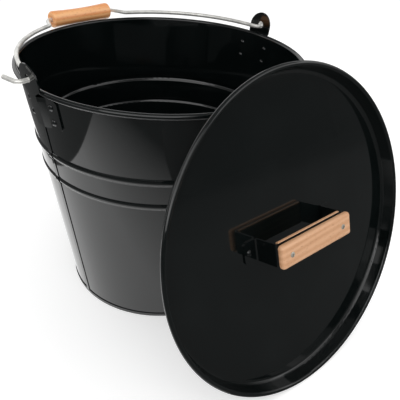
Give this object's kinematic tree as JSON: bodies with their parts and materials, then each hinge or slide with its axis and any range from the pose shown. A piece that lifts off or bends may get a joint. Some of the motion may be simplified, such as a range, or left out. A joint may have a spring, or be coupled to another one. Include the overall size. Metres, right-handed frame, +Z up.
{
  "type": "log bucket",
  "caption": "Tapered round steel log bucket with swage beads, a folding wire bail with a turned wooden grip, and a dished round lid with a wooden bar handle.",
  "frame": {"origin": "centre of the base, in the plane of the floor that the base hem stands on", "axes": "+Z up along the bucket's axis; X runs through both ears and is the bail's hinge line; the bail is folded back over the rim at +Y; the lid leans on the rim at -Y"},
  "size_m": [0.3808, 0.4664, 0.3426],
  "materials": {
    "gloss_black": "gloss black enamel",
    "zinc_wire": "bright galvanised wire",
    "bright_screw": "bright zinc plating",
    "beech": "turned beech with a thin clear coat",
    "pale_beech": "sanded pale beech"
  },
  "bodies": {
    "bucket": {"bucket_body": "gloss_black", "rim_wire": "zinc_wire", "base_pan": "gloss_black", "base_hem": "gloss_black", "ear_left": "gloss_black", "ear_right": "gloss_black", "ear_left_rivet_1": "gloss_black", "ear_left_rivet_2": "gloss_black", "ear_left_rivet_3": "gloss_black", "ear_left_rivet_4": "gloss_black", "ear_right_rivet_1": "gloss_black", "ear_right_rivet_2": "gloss_black", "ear_right_rivet_3": "gloss_black", "ear_right_rivet_4": "gloss_black"},
    "bail": {"bail_wire": "zinc_wire"},
    "grip": {"bail_grip": "beech"},
    "lid": {"lid_pan": "gloss_black", "lid_wire": "zinc_wire", "handle_bracket": "gloss_black", "handle_rivet_left": "gloss_black", "handle_rivet_right": "gloss_black", "handle_plate": "pale_beech", "handle_back": "pale_beech", "handle_screw_left": "bright_screw", "handle_screw_right": "bright_screw"}
  },
  "joints": [
    {"name": "bail_hinge", "type": "hinge", "parent": "bucket", "child": "bail", "pos_m": [0, 0, 0.311], "axis": [1, 0, 0], "range_deg": [0, 155]},
    {"name": "grip_spin", "type": "hinge", "parent": "bail", "child": "grip", "pos_m": [0, 0.17314, 0.311], "axis": [1, 0, 0], "continuous": true},
    {"name": "lid_lift", "type": "slide", "parent": "bucket", "child": "lid", "axis": [0, 0, 1], "range_m": [0, 0.5]}
  ]
}
